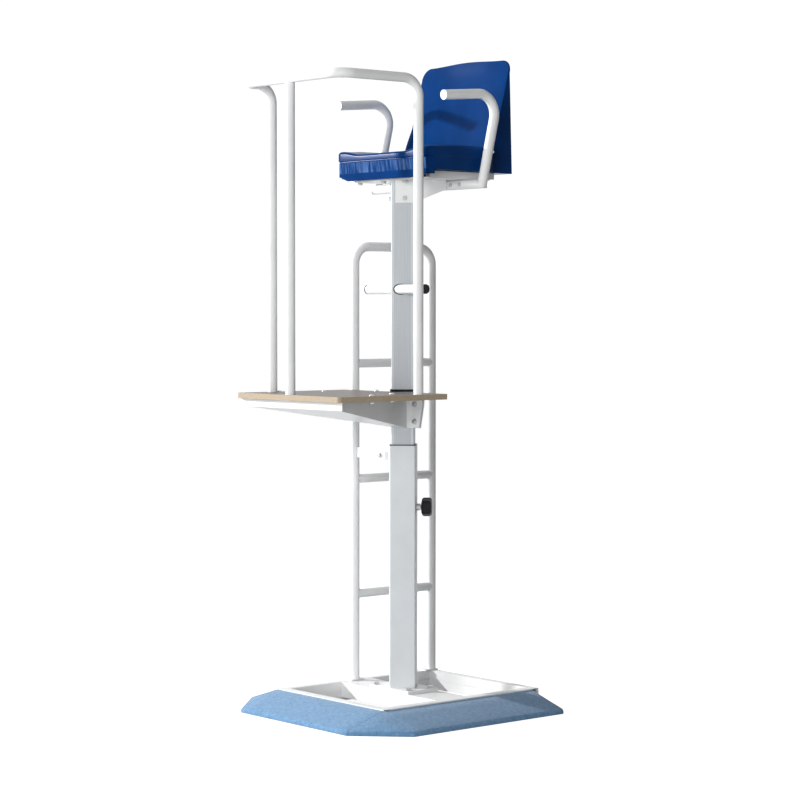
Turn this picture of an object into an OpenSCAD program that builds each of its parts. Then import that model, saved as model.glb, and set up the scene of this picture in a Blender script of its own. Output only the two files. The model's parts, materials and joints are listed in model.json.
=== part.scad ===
// Volleyball referee chair: a seat and a railed platform on a telescopic column,
// with a ladder beside it and a padded skirt round its floor frame.
// Millimetres, +Z up, origin on the floor under the middle of the whole chair.
// -Y is the front, which the referee faces, and +X is the referee's left.

/* [Floor frame] */
// Width of the floor frame, along X
frame_w = 556; // [520:2:620]
// Front of the floor frame, from the axis of the column
frame_front = 318; // [290:2:360]
// Rear of the floor frame, from the axis of the column
frame_rear = 360; // [345:2:400]
// Height of the floor frame
frame_h = 65; // [60:1:80]
// Width of a frame rail
frame_rail_w = 30; // [26:1:40]
// Height of the upper tube of a frame rail
frame_tube_h = 30; // [26:1:34]
// Depth of the groove between the upper tube and the lower one
frame_groove = 2; // [1:0.5:3]
// Wall of a frame rail
frame_wall = 2; // [1.5:0.5:3]
// Width of the cross beam under the column, along Y
beam_w = 132; // [120:2:160]
// Height of the cross beam
beam_h = 52; // [40:1:58]
// Wall of the cross beam
beam_wall = 3; // [2:0.5:5]

/* [Padded skirt] */
// Width of the skirt, on the floor
skirt_w = 152; // [120:2:180]
// Height of the skirt's thin edge
skirt_edge_h = 15; // [8:1:25]
// Drop from the top of the frame to the top of the skirt
skirt_drop = 3; // [1:1:8]

/* [Column] */
// Side of the outer tube
outer_side = 88; // [85:1:100]
// Wall of the outer tube
outer_wall = 4; // [3:0.5:6]
// Height of the top of the outer tube above the floor
outer_top = 883; // [840:1:890]
// Side of the inner tube
inner_side = 75; // [68:1:77]
// Wall of the inner tube
inner_wall = 3; // [2:0.5:5]
// Length of the inner tube that stands in the outer one at rest
inner_engaged = 460; // [420:5:600]
// Running gap between the inner tube and its plastic guide
guide_gap = 0.3; // [0.2:0.05:0.5]
// Height of the plastic guide inside the outer tube
guide_h = 60; // [40:1:90]
// Height of the guide's lip above the outer tube
guide_lip = 3; // [2:0.5:6]
// Length of the foot plate, along X
foot_l = 204; // [180:2:240]
// Width of the foot plate, along Y
foot_w = 130; // [124:2:140]
// Thickness of the foot plate
foot_t = 10; // [6:1:14]
// Radius of the foot plate's bolt holes
foot_hole_r = 5.5; // [4:0.5:7]
// Distance from the edge of the foot plate to its holes
foot_hole_inset = 18; // [14:1:24]

/* [Clamp knob] */
// Height of the clamp screw above the floor
knob_z = 676; // [600:1:760]
// Radius of the clamp screw
screw_r = 5; // [4:0.5:6]
// Gap round the clamp screw
screw_gap = 0.3; // [0.2:0.05:0.5]
// Radius of the boss on the outer tube
boss_r = 12; // [10:0.5:16]
// Length of the boss
boss_l = 13; // [8:1:20]
// Largest radius of the knob
knob_r = 32.5; // [26:0.5:36]
// Number of lobes on the knob
knob_lobes = 6; // [5:1:8]
// Radius of a lobe
lobe_r = 9; // [7:0.5:10]
// Thickness of the lobed disc
knob_t = 30; // [16:1:30]
// Radius of the knob's hub
hub_r = 14; // [11:0.5:18]
// Length of the knob's hub
hub_l = 5; // [4:1:20]

/* [Ladder] */
// Diameter of the ladder's bent tube
tube_d = 32; // [28:1:36]
// Wall of the round tubes
tube_wall = 2; // [1.5:0.5:3]
// Distance from the axis of the column to the ladder, along -X
ladder_x = 254; // [250:1:262]
// Front upright of the ladder, along Y
ladder_front_y = -3; // [-5:1:10]
// Rear upright of the ladder, along Y
ladder_rear_y = 343; // [335:1:344]
// Height of the middle of the ladder's top
ladder_top = 1550; // [1500:2:1580]
// Bend radius of the ladder, to the middle of the tube
ladder_bend = 60; // [48:1:80]
// Diameter of a rung
rung_d = 30; // [24:1:30]
// Height of the lowest rung
rung_first = 361; // [300:1:400]
// Distance from rung to rung
rung_pitch = 395; // [300:1:395]
// Number of rungs
rung_count = 3; // [3:1:3]
// Thickness of a ladder foot
ladder_foot_t = 5; // [3:0.5:8]
// Length of a ladder foot, along Y
ladder_foot_l = 56; // [44:1:70]
// Height of the middle of the brace
brace_z = 848; // [800:1:850]
// Height of the brace bar
brace_h = 34; // [26:1:44]
// Thickness of the brace bar
brace_t = 8; // [5:0.5:12]
// Length of the brace's clamp block, along X
block_l = 50; // [36:1:60]
// Gap that a weld or a cope closes
weld_gap = 0.2; // [0.1:0.05:0.4]

/* [Platform] */
// Width of the platform, along X
deck_w = 540; // [500:2:560]
// Depth of the platform, along Y
deck_d = 454; // [440:2:480]
// Thickness of the plywood
deck_t = 18; // [12:1:24]
// Height of the top of the platform above the floor
deck_top = 1062; // [1056:1:1090]
// Rear edge of the platform, in front of the axis of the column
deck_rear = 36; // [34:1:44]
// Corner radius of the plywood
deck_corner = 12; // [10:1:40]
// Gap between the plywood and the column
deck_gap = 1; // [0.5:0.5:3]
// Thickness of the bracket's sheet steel
sheet_t = 3; // [2:0.5:4]
// Height of the bracket where it grips the column
bracket_h = 102; // [90:1:110]
// Height of the bracket's front flange
flange_h = 26; // [18:1:36]
// Distance from the platform's edge to the bracket
bracket_inset = 16; // [10:1:30]
// How far the front flange runs past each cheek
flange_over = 10; // [0:1:10]
// Reach of a bracket wing past the column's corner, at its top
wing_top = 49; // [36:1:60]
// Reach of a bracket wing past the column's corner, at its bottom
wing_bottom = 32; // [28:1:40]
// Part of the column's face that the bracket leaves bare
bracket_bare = 52; // [40:1:60]
// Distance from the column's corner to the clamp bolts
clamp_bolt_out = 12; // [10:0.5:16]
// Radius of the clamp bolt holes
clamp_hole_r = 5.2; // [4:0.1:5.5]
// Distance from the top and bottom of the bracket to the clamp bolts
clamp_bolt_inset = 22; // [16:1:30]
// Gap between the front and rear clamp wings
clamp_gap = 3.5; // [2:0.5:6]
// Height of the black collar on the platform
collar_h = 8; // [4:1:20]
// Wall of the black collar
collar_wall = 3.5; // [2:0.5:6]

/* [Guard rail] */
// Height of the middle of the rail above the platform
rail_h = 1011; // [900:1:1100]
// Distance from the platform's edge to the middle of the rail
rail_inset = 20; // [18:1:30]
// Plan radius of the rail's corners, to the middle of the tube
rail_corner = 50; // [40:1:50]
// Radius of the rail's elbows, to the middle of the tube
rail_elbow = 60; // [48:1:60]
// Left post, from the axis of the column along -Y
rail_left_y = 148; // [110:1:240]
// Right post, from the axis of the column along -Y
rail_right_y = 357; // [300:1:358]
// Middle post, from the axis of the column along -X
rail_mid_x = 5; // [0:1:60]

/* [Footrest] */
// Height of the footrest bar above the platform
footrest_h = 340; // [300:1:420]
// Length of the footrest bar
footrest_l = 290; // [280:2:400]
// Distance from the axis of the column to the footrest bar, along -Y
footrest_y = 30; // [24:1:34]
// Length of an end cap on a bar
cap_l = 5; // [3:1:8]

/* [Seat] */
// Height of the underside of the seat plate above the platform
seat_plate_h = 700; // [670:1:720]
// Thickness of the seat plate
seat_plate_t = 4; // [3:0.5:8]
// Front of the seat plate, in front of the axis of the column
seat_plate_front = 64; // [60:1:80]
// Rear of the seat plate, behind the axis of the column
seat_plate_rear = 205; // [180:1:240]
// Height of the seat bracket on the column
seat_bracket_h = 74; // [50:1:90]
// Half the width of the seat bracket, at its rear
seat_bracket_x = 112; // [90:1:130]
// Distance from the axis of the column to the armrest feet, along Y
arm_y = 109; // [90:1:130]
// Width of a seat rail
seat_rail_w = 20; // [16:1:30]
// Height of a seat rail
seat_rail_h = 20; // [16:1:24]
// Wall of a seat rail
seat_rail_wall = 2; // [1.5:0.5:3]
// Distance between the middles of the seat rails
seat_rail_pitch = 380; // [340:2:390]
// Front end of the seat rails, in front of the axis of the column
seat_rail_front = 56; // [40:1:64]
// Rear end of the seat rails, behind the axis of the column
seat_rail_rear = 225; // [215:1:260]
// Width of the seat
seat_w = 484; // [470:2:500]
// Front of the seat, in front of the axis of the column
seat_front = 98; // [90:1:110]
// Rear of the seat pan, behind the axis of the column
seat_rear = 186; // [176:1:186]
// Height of the rim of the seat pan above the seat rails
seat_rise = 83; // [76:1:90]
// Height of the seat's front skirt
seat_front_skirt = 104; // [90:1:106]
// How far the front skirt runs back round the seat's corners
seat_skirt_d = 32; // [32:1:60]
// Radius of the seat's front corners, seen from above
seat_corner = 30; // [20:1:32]
// Height of the seat's side skirt
seat_side_skirt = 82; // [60:1:82]
// Sag of the seat's middle below its rim
seat_sag = 16; // [8:1:22]
// Width of the flat hump at each side of the seat
seat_hump = 46; // [45:1:70]
// Wall of the seat's plastic
seat_wall = 5; // [4:0.5:7]
// Radius of the seat's front edge
seat_nose = 30; // [24:1:34]
// Radius of a boss under the seat
seat_boss_r = 9; // [7:0.5:10]

/* [Backrest] */
// Width of the backrest
back_w = 440; // [420:2:450]
// Height of the backrest
back_h = 386; // [340:2:420]
// Depth of the backrest at its foot
back_foot = 100; // [80:1:110]
// Front of the backrest's foot, behind the axis of the column
back_front = 187; // [187:1:200]
// Height of the backrest's upright foot, in front
back_low_h = 84; // [60:2:110]
// Height at which the backrest's front turns steeper
back_high_h = 169; // [150:1:200]
// Set back of the front there, from the foot
back_high_set = 38; // [30:1:50]
// Set back of the front at its top, from the foot
back_top_set = 93; // [80:1:94]
// Radius of the backrest's top corners
back_corner = 40; // [30:1:60]

/* [Armrests] */
// Distance between the middles of the armrests
arm_pitch = 540; // [520:2:580]
// Height of the middle of the arm above its foot
arm_h = 291; // [260:1:300]
// Lean of the upright towards the rear, in degrees
arm_lean = 13.5; // [0:0.5:18]
// Fall of the arm towards the front, in degrees
arm_drop = 4.5; // [0:0.5:6]
// Length of the straight arm
arm_l = 146; // [110:2:170]
// Bend radius of the arm, to the middle of the tube
arm_bend = 65; // [48:1:70]
// Inner end of the armrest's foot, from the axis of the column
arm_foot_in = 50; // [30:1:70]

/* [Hidden] */
$fn = 64;

white = [0.93, 0.93, 0.92];
light_grey = [0.80, 0.81, 0.82];
metal = [0.66, 0.68, 0.70];
black = [0.06, 0.06, 0.07];
felt = [0.38, 0.50, 0.66];
blue = [0.05, 0.16, 0.48];
plywood = [0.45, 0.34, 0.24];

eps = 1;                                  // overrun of a cutting solid
half_frame = frame_w / 2;
frame_len = frame_front + frame_rear;
side_len = frame_len - 2 * frame_rail_w;
inner_frame = half_frame - frame_rail_w;  // inside of a side rail
frame_low_h = frame_h - frame_tube_h - frame_groove;
beam_top = frame_h - eps;
skirt_h = frame_h - skirt_drop;
outer_half = outer_side / 2;
inner_half = inner_side / 2;
outer_bottom = beam_top + foot_t;
inner_bottom = outer_top - inner_engaged;
tube_r = tube_d / 2;
rung_r = rung_d / 2;
foot_top = frame_h + ladder_foot_t;
deck_bottom = deck_top - deck_t;
deck_front = deck_rear + deck_d;
deck_half = deck_w / 2;
bracket_bottom = deck_bottom - bracket_h;
bracket_half = deck_half - bracket_inset;
bracket_front = deck_front - bracket_inset;
rail_z = deck_top + rail_h;
rail_x = deck_half - rail_inset;
rail_front_y = deck_front - rail_inset;
footrest_z = deck_top + footrest_h;
seat_plate_z = deck_top + seat_plate_h;
seat_plate_w = seat_rail_pitch + seat_rail_w;
seat_plate_top = seat_plate_z + seat_plate_t;
arm_z = seat_plate_z - tube_r;
arm_x = arm_pitch / 2;
seat_rail_z = seat_plate_top;
seat_rail_top = seat_rail_z + seat_rail_h;
seat_top = seat_rail_top + seat_rise;
seat_half = seat_w / 2;
sag_half = seat_half - seat_hump;         // half the width of the dip
seat_sag_r = (sag_half * sag_half + seat_sag * seat_sag) / (2 * seat_sag);
knob_start = outer_half + boss_l + 2;
tool_len = 2 * (outer_half + boss_l);
arm_upright = arm_h - arm_bend * (cos(arm_drop) + sin(arm_lean));
arm_bend_y = arm_y + arm_upright * tan(arm_lean) - arm_bend * cos(arm_lean);
arm_bend_z = arm_z + arm_h - arm_bend * cos(arm_drop);

// --- shapes that repeat ---

// A point by its place along the column's front left face and away from it.
function on_face(u, v) = [(u - v) / sqrt(2), (u + v) / sqrt(2)];
function inward(angle) = [-sin(angle), cos(angle)];

// A side view, Y along and Z up, run across the whole platform.
module across() { translate([-deck_w, 0, 0]) rotate([90, 0, 90]) linear_extrude(2 * deck_w) children(); }

// The column stands with one corner to the front: x runs along the front left face
// and y away from it.
module turned() { rotate([0, 0, 45]) children(); }
module mirrored() { mirror([1, 0, 0]) children(); }

// The sizes above count from the column; this puts the origin under the middle of the whole.
module placed() { translate([0, (deck_front - frame_rear) / 2, 0]) children(); }

module rounded_square(side, r) {
    inner = side / 2 - r;
    square([side, 2 * inner], center = true);
    square([2 * inner, side], center = true);
    for (x = [-1, 1], y = [-1, 1]) translate([x * inner, y * inner]) circle(r);
}

module square_tube(side, wall, r, h) {
    linear_extrude(h) difference() {
        rounded_square(side, r);
        rounded_square(side - 2 * wall, max(r - wall, 1));
    }
}

// A straight round tube from the origin along +Z.
module tube(h) {
    difference() {
        cylinder(r = tube_r, h = h);
        translate([0, 0, -eps]) cylinder(r = tube_r - tube_wall, h = h + 2 * eps);
    }
}

// A bent round tube about the Z axis, from the +X axis through the angle.
module bend(radius, angle) {
    rotate_extrude(angle = angle) translate([radius, 0]) difference() {
        circle(tube_r);
        circle(tube_r - tube_wall);
    }
}

module tube_x(length) { rotate([0, 90, 0]) tube(length); }
module tube_y(length) { rotate([-90, 0, 0]) tube(length); }

// --- floor frame ---

// A frame rail along +X from the origin: two tubes, one on the other, with a groove between.
module frame_rail(length) {
    difference() {
        cube([length, frame_rail_w, frame_h]);
        translate([-eps, frame_rail_w - frame_groove, frame_low_h])
            cube([length + 2 * eps, frame_groove + eps, frame_groove]);
        translate([-eps, frame_wall, frame_wall])
            cube([length + 2 * eps, frame_rail_w - 2 * frame_wall, frame_low_h - 2 * frame_wall]);
        translate([-eps, frame_wall, frame_h - frame_tube_h + frame_wall])
            cube([length + 2 * eps, frame_rail_w - 2 * frame_wall,
                  frame_tube_h - 2 * frame_wall]);
    }
}

module frame_rail_front() {
    color(white) translate([-half_frame, -frame_front, 0]) frame_rail(frame_w);
}

module frame_rail_rear() {
    color(white) translate([half_frame, frame_rear, 0]) rotate([0, 0, 180]) frame_rail(frame_w);
}

module frame_rail_left() {
    color(white) translate([half_frame, -frame_front + frame_rail_w, 0])
        rotate([0, 0, 90]) frame_rail(side_len);
}

module frame_rail_right() {
    color(white) translate([-half_frame, frame_rear - frame_rail_w, 0])
        rotate([0, 0, -90]) frame_rail(side_len);
}

module frame_beam() {
    color(white) translate([-inner_frame, -beam_w / 2, beam_top - beam_h]) difference() {
        cube([2 * inner_frame, beam_w, beam_h]);
        translate([-eps, beam_wall, -eps])
            cube([2 * inner_frame + 2 * eps, beam_w - 2 * beam_wall, beam_h - beam_wall + eps]);
    }
}

// --- padded skirt ---

// A wedge along +X from the origin: tall at y = 0 and low at y = -skirt_w.
module wedge(length, run) {
    rotate([90, 0, 90]) linear_extrude(length)
        polygon([[0, 0], [0, skirt_h], [-run, skirt_edge_h], [-run, 0]]);
}

module skirt_front() {
    color(felt) translate([-half_frame, -frame_front, 0]) wedge(frame_w, skirt_w);
}

module skirt_left() {
    color(felt) translate([half_frame, -frame_front, 0])
        rotate([0, 0, 90]) wedge(frame_len - frame_rail_w, skirt_w);
}

module skirt_right() { mirrored() skirt_left(); }

// The corner facet: the part of a diagonal wedge that lies in the corner's triangle.
module skirt_corner_left() {
    run = skirt_w / sqrt(2);
    color(felt) translate([half_frame, -frame_front, 0]) intersection() {
        linear_extrude(skirt_h) polygon([[0, 0], [0, -skirt_w], [skirt_w, 0]]);
        rotate([0, 0, 45]) translate([-skirt_w, 0, 0]) wedge(2 * skirt_w, run);
    }
}

module skirt_corner_right() { mirrored() skirt_corner_left(); }

// --- column ---

module column_foot() {
    color(white) difference() {
        translate([-foot_l / 2, -foot_w / 2, beam_top]) cube([foot_l, foot_w, foot_t]);
        for (x = [-1, 1], y = [-1, 1])
            translate([x * (foot_l / 2 - foot_hole_inset), y * (foot_w / 2 - foot_hole_inset),
                       beam_top - eps])
                cylinder(r = foot_hole_r, h = foot_t + 2 * eps);
    }
}

module column_outer() {
    color(light_grey) difference() {
        translate([0, 0, outer_bottom]) turned()
            square_tube(outer_side, outer_wall, 6, outer_top - outer_bottom);
        turned() translate([0, 0, knob_z]) rotate([0, 90, 0])
            cylinder(r = screw_r + screw_gap, h = tool_len);
    }
}

module column_guide() {
    seat = outer_side - 2 * outer_wall - 2 * weld_gap;
    bore = inner_side + 2 * guide_gap;
    color(black) turned() difference() {
        union() {
            translate([0, 0, outer_top - guide_h]) linear_extrude(guide_h) rounded_square(seat, 2);
            translate([0, 0, outer_top]) linear_extrude(guide_lip)
                rounded_square(outer_side - 2, 5);
        }
        translate([0, 0, outer_top - guide_h - eps])
            linear_extrude(guide_h + guide_lip + 2 * eps) rounded_square(bore, 3);
    }
}

module column_inner() {
    color(metal) difference() {
        translate([0, 0, inner_bottom]) turned()
            square_tube(inner_side, inner_wall, 3, seat_plate_z - inner_bottom);
        translate([-footrest_l / 2, -footrest_y, footrest_z]) rotate([0, 90, 0])
            cylinder(r = tube_r + weld_gap, h = footrest_l);
    }
}

module column_collar() {
    color(black) translate([0, 0, deck_top]) turned()
        linear_extrude(collar_h) difference() {
            rounded_square(inner_side + 2 * weld_gap + 2 * collar_wall, 3);
            rounded_square(inner_side + 2 * weld_gap, 3);
        }
}

// --- clamp knob: its axis leaves the column's rear left face ---

module clamp_boss() {
    color(metal) turned() translate([outer_half, 0, knob_z]) rotate([0, 90, 0]) difference() {
        cylinder(r = boss_r, h = boss_l);
        translate([0, 0, -eps]) cylinder(r = screw_r + screw_gap, h = boss_l + 2 * eps);
    }
}

module clamp_screw() {
    start = inner_half + 0.7;
    color(metal) turned() translate([start, 0, knob_z]) rotate([0, 90, 0])
        cylinder(r = screw_r, h = knob_start + hub_l + knob_t / 2 - start);
}

module clamp_knob() {
    lobe_place = knob_r - lobe_r;
    color(black) turned() translate([knob_start, 0, knob_z]) rotate([0, 90, 0]) difference() {
        union() {
            cylinder(r = hub_r, h = hub_l);
            translate([0, 0, hub_l]) linear_extrude(knob_t) {
                circle(lobe_place + lobe_r / 4);
                for (i = [0 : knob_lobes - 1]) rotate([0, 0, (i + 0.25) * 360 / knob_lobes])
                    translate([lobe_place, 0]) circle(lobe_r);
            }
        }
        translate([0, 0, -eps])
            cylinder(r = screw_r + weld_gap, h = hub_l + knob_t / 2 + eps);
    }
}

// --- ladder ---

module ladder_upright(y) {
    color(white) translate([-ladder_x, y, foot_top]) tube(ladder_top - ladder_bend - foot_top);
}

module ladder_upright_front() { ladder_upright(ladder_front_y); }
module ladder_upright_rear() { ladder_upright(ladder_rear_y); }

module ladder_bow() {
    color(white) translate([-ladder_x, 0, ladder_top - ladder_bend]) {
        translate([0, ladder_rear_y - ladder_bend, 0]) rotate([90, 0, 90]) bend(ladder_bend, 90);
        translate([0, ladder_front_y + ladder_bend, 0]) rotate([90, 0, -90]) bend(ladder_bend, 90);
        translate([0, ladder_front_y + ladder_bend, ladder_bend])
            tube_y(ladder_rear_y - ladder_front_y - 2 * ladder_bend);
    }
}

// A rung, coped to the two uprights.
module ladder_rung(step) {
    z = rung_first + step * rung_pitch;
    length = ladder_rear_y - ladder_front_y;
    color(white) translate([-ladder_x, 0, z]) difference() {
        translate([0, ladder_front_y, 0]) rotate([-90, 0, 0]) cylinder(r = rung_r, h = length);
        translate([0, ladder_front_y, 0]) rotate([-90, 0, 0])
            cylinder(r = rung_r - tube_wall, h = length);
        for (y = [ladder_front_y, ladder_rear_y]) translate([0, y, -rung_d])
            cylinder(r = tube_r + weld_gap, h = 2 * rung_d);
    }
}

module ladder_rung_low() { ladder_rung(0); }
module ladder_rung_middle() { ladder_rung(1); }
module ladder_rung_high() { ladder_rung(2); }

module ladder_feet() {
    foot_in = half_frame - ladder_x + tube_r;
    color(white) for (y = [ladder_front_y, frame_rear - ladder_foot_l / 2])
        translate([-half_frame, y - ladder_foot_l / 2, frame_h])
            cube([foot_in, ladder_foot_l, ladder_foot_t]);
}

// The brace runs from the column's right corner to the front upright.
module ladder_brace() {
    color(white) difference() {
        translate([-ladder_x, ladder_front_y - brace_t / 2, brace_z - brace_h / 2])
            cube([ladder_x, brace_t, brace_h]);
        translate([-ladder_x, ladder_front_y, brace_z - brace_h])
            cylinder(r = tube_r + weld_gap, h = 2 * brace_h);
        translate([0, 0, brace_z - brace_h]) turned() linear_extrude(2 * brace_h)
            rounded_square(outer_side + 2 * weld_gap, 6);
    }
}

module brace_block() {
    start = outer_half * sqrt(2) + 18;
    block_h = brace_h - 6;
    block_t = 3 * brace_t;
    color(white) difference() {
        translate([-start - block_l, ladder_front_y - block_t / 2, brace_z - block_h / 2 - 3])
            cube([block_l, block_t, block_h]);
        translate([-ladder_x, ladder_front_y - brace_t / 2 - weld_gap, brace_z - brace_h / 2])
            cube([ladder_x, brace_t + 2 * weld_gap, brace_h]);
    }
}

// --- platform ---

module deck_outline() {
    x = deck_half - deck_corner;
    y = deck_d / 2 - deck_corner;
    square([2 * deck_half, 2 * y], center = true);
    square([2 * x, deck_d], center = true);
    for (i = [-1, 1], j = [-1, 1]) translate([i * x, j * y]) circle(deck_corner);
}

module deck_board() {
    color(plywood) difference() {
        translate([0, -deck_rear - deck_d / 2, deck_bottom]) linear_extrude(deck_t)
            deck_outline();
        translate([0, 0, deck_bottom - eps]) turned() linear_extrude(deck_t + 2 * eps)
            rounded_square(inner_side + 2 * deck_gap, 3);
    }
}

module deck_flange() {
    half = bracket_half + flange_over;
    color(white) translate([-half, -bracket_front, deck_bottom - flange_h])
        cube([2 * half, sheet_t, flange_h]);
}

// A cheek runs from the flange to the column's front left face, lies along it and ends in
// a wing beside the column's corner.
face_out = inner_half + sheet_t;
cheek_u = bracket_bare - inner_half;
cheek_start = [bracket_half - sheet_t, -bracket_front + sheet_t];
cheek_end = on_face(cheek_u, -face_out);
cheek_run = cheek_end[1] - cheek_start[1];
cheek_angle = atan2(cheek_run, cheek_end[0] - cheek_start[0]);
cheek_wide = sheet_t / sin(cheek_angle);  // the sheet's width along X
cheek_slope = (bracket_h - flange_h) / cheek_run;
wing_y = clamp_gap / 2;
wing_x = inner_half * sqrt(2);            // the column's corner
wing_bend_out = face_out * sqrt(2) - wing_y - sheet_t;
wing_bend_in = wing_x - wing_y;
wing_end = wing_x + wing_top;

// What lies below the bracket's sloping edge, by side view.
module below_slope(lift) {
    lead = 10;
    polygon([[cheek_start[1] - lead, deck_bottom - flange_h + lead * cheek_slope + lift],
             [cheek_end[1], bracket_bottom + lift], [cheek_end[1], bracket_bottom - eps],
             [cheek_start[1] - lead, bracket_bottom - eps]]);
}

// The clamp's bolt holes and the slanted ends of its wings, at the left.
module clamp_cuts() {
    for (z = [bracket_bottom + clamp_bolt_inset, deck_bottom - clamp_bolt_inset])
        translate([wing_x + clamp_bolt_out, inner_side / 2, z]) rotate([90, 0, 0])
            cylinder(r = clamp_hole_r, h = inner_side);
    translate([0, inner_side / 2, 0]) rotate([90, 0, 0]) linear_extrude(inner_side)
        polygon([[wing_end + eps, deck_bottom - clamp_bolt_inset],
                 [wing_end, deck_bottom - clamp_bolt_inset],
                 [wing_x + wing_bottom, bracket_bottom - eps],
                 [wing_end + eps, bracket_bottom - eps]]);
}

module deck_cheek_left() {
    color(white) difference() {
        translate([0, 0, bracket_bottom]) linear_extrude(bracket_h)
            polygon([cheek_start, cheek_end, [wing_bend_out, -wing_y - sheet_t],
                     [wing_end, -wing_y - sheet_t], [wing_end, -wing_y],
                     [wing_bend_in, -wing_y], on_face(cheek_u - 2 * sheet_t, -inner_half),
                     on_face(cheek_u - 2 * sheet_t, -face_out),
                     on_face(cheek_u - sheet_t / sin(cheek_angle - 45), -face_out),
                     cheek_start - [cheek_wide, 0]]);
        across() below_slope(0);
        clamp_cuts();
    }
}

module deck_cheek_right() { mirrored() deck_cheek_left(); }

// The sloping sheet between the cheeks.
module deck_floor_plate() {
    inset = cheek_wide + weld_gap;
    color(white) intersection() {
        difference() {
            across() polygon([[cheek_start[1], deck_bottom - flange_h],
                              [cheek_start[1], deck_bottom - flange_h + sheet_t],
                              [cheek_end[1], bracket_bottom + sheet_t],
                              [cheek_end[1], bracket_bottom]]);
            translate([0, 0, bracket_bottom - eps]) turned() linear_extrude(bracket_h)
                rounded_square(inner_side + 2 * weld_gap, 3);
        }
        translate([0, 0, bracket_bottom - eps]) linear_extrude(bracket_h + 2 * eps)
            polygon([[-cheek_start[0] + inset, cheek_start[1]],
                     [cheek_start[0] - inset, cheek_start[1]],
                     [cheek_end[0] - inset, cheek_end[1]],
                     on_face(cheek_u - 2 * sheet_t, -face_out - weld_gap), [0, -wing_x],
                     mirror_x(on_face(cheek_u - 2 * sheet_t, -face_out - weld_gap)),
                     [-cheek_end[0] + inset, cheek_end[1]]]);
    }
}

function mirror_x(p) = [-p[0], p[1]];

module deck_rear_clamp() {
    tip_out = [0, face_out * sqrt(2)];
    tip_in = [0, wing_x];
    color(white) difference() {
        translate([0, 0, bracket_bottom]) linear_extrude(bracket_h)
            polygon([[wing_end, wing_y], [wing_end, wing_y + sheet_t],
                     [wing_bend_out, wing_y + sheet_t], tip_out,
                     [-wing_bend_out, wing_y + sheet_t], [-wing_end, wing_y + sheet_t],
                     [-wing_end, wing_y], [-wing_bend_in, wing_y], tip_in,
                     [wing_bend_in, wing_y]]);
        clamp_cuts();
        mirrored() clamp_cuts();
    }
}

// --- guard rail ---

// One end of the rail: plan corner, side bar, elbow and post, on the +X side.
module rail_end(post_y) {
    bar = rail_front_y - rail_corner - post_y - rail_elbow;
    color(white) {
        translate([rail_x - rail_corner, -rail_front_y + rail_corner, rail_z])
            rotate([0, 0, -90]) bend(rail_corner, 90);
        translate([rail_x, -rail_front_y + rail_corner, rail_z]) tube_y(bar);
        translate([rail_x, -post_y - rail_elbow, rail_z - rail_elbow])
            rotate([90, 0, 90]) bend(rail_elbow, 90);
        translate([rail_x, -post_y, deck_top]) tube(rail_h - rail_elbow);
    }
}

module rail_left() { rail_end(rail_left_y); }
module rail_right() { mirrored() rail_end(rail_right_y); }

module rail_front() {
    color(white) translate([-rail_x + rail_corner, -rail_front_y, rail_z])
        tube_x(2 * (rail_x - rail_corner));
}

module rail_post() {
    color(white) difference() {
        translate([-rail_mid_x, -rail_front_y, deck_top]) tube(rail_h);
        translate([-rail_x, -rail_front_y, rail_z]) rotate([0, 90, 0])
            cylinder(r = tube_r + weld_gap, h = 2 * rail_x);
    }
}

// --- footrest ---

module footrest_bar() {
    color(white) translate([-footrest_l / 2, -footrest_y, footrest_z]) tube_x(footrest_l);
}

module end_cap() {
    cylinder(r = tube_r, h = cap_l);
    translate([0, 0, -2 * cap_l]) cylinder(r = tube_r - tube_wall - weld_gap, h = 2 * cap_l);
}

module footrest_caps() {
    color(black) for (side = [0, 1]) mirror([side, 0, 0])
        translate([footrest_l / 2, -footrest_y, footrest_z]) rotate([0, 90, 0]) end_cap();
}

// --- seat ---

module seat_plate() {
    color(white) translate([-seat_plate_w / 2, -seat_plate_front, seat_plate_z])
        cube([seat_plate_w, seat_plate_front + seat_plate_rear, seat_plate_t]);
}

// A bracket on the column's front left face that runs back under the seat plate.
module seat_bracket_left() {
    bare = 14;
    bend_at = on_face(face_out, -face_out);
    reach = arm_y - tube_r - weld_gap;
    angle = atan2(reach - bend_at[1], seat_bracket_x - bend_at[0]);
    tail = [seat_bracket_x, reach - sheet_t * max(inward(angle)[1], 0)];
    fold = sheet_t * (inward(45) + inward(angle)) / (1 + cos(angle - 45));
    slope = 0.6 * seat_bracket_h / tail[1];
    low = seat_plate_z - seat_bracket_h;
    color(white) difference() {
        translate([0, 0, low]) linear_extrude(seat_bracket_h)
            polygon([on_face(bare - inner_half, -face_out), bend_at, tail,
                     tail + sheet_t * inward(angle), bend_at + fold,
                     on_face(bare - inner_half, -inner_half)]);
        across() polygon([[0, low], [2 * tail[1], low + 2 * tail[1] * slope],
                          [2 * tail[1], low - eps], [0, low - eps]]);
    }
}

module seat_bracket_right() { mirrored() seat_bracket_left(); }

module seat_rails() {
    length = seat_rail_front + seat_rail_rear;
    bore = [seat_rail_w - 2 * seat_rail_wall, length + 2 * eps, seat_rail_h - 2 * seat_rail_wall];
    color(white) for (side = [-1, 1])
        translate([side * seat_rail_pitch / 2 - seat_rail_w / 2, -seat_rail_front, seat_rail_z])
            difference() {
                cube([seat_rail_w, length, seat_rail_h]);
                translate([seat_rail_wall, -eps, seat_rail_wall]) cube(bore);
            }
}

// The top of the seat pan's middle, at its lowest.
seat_mid = seat_top - seat_sag;

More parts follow.
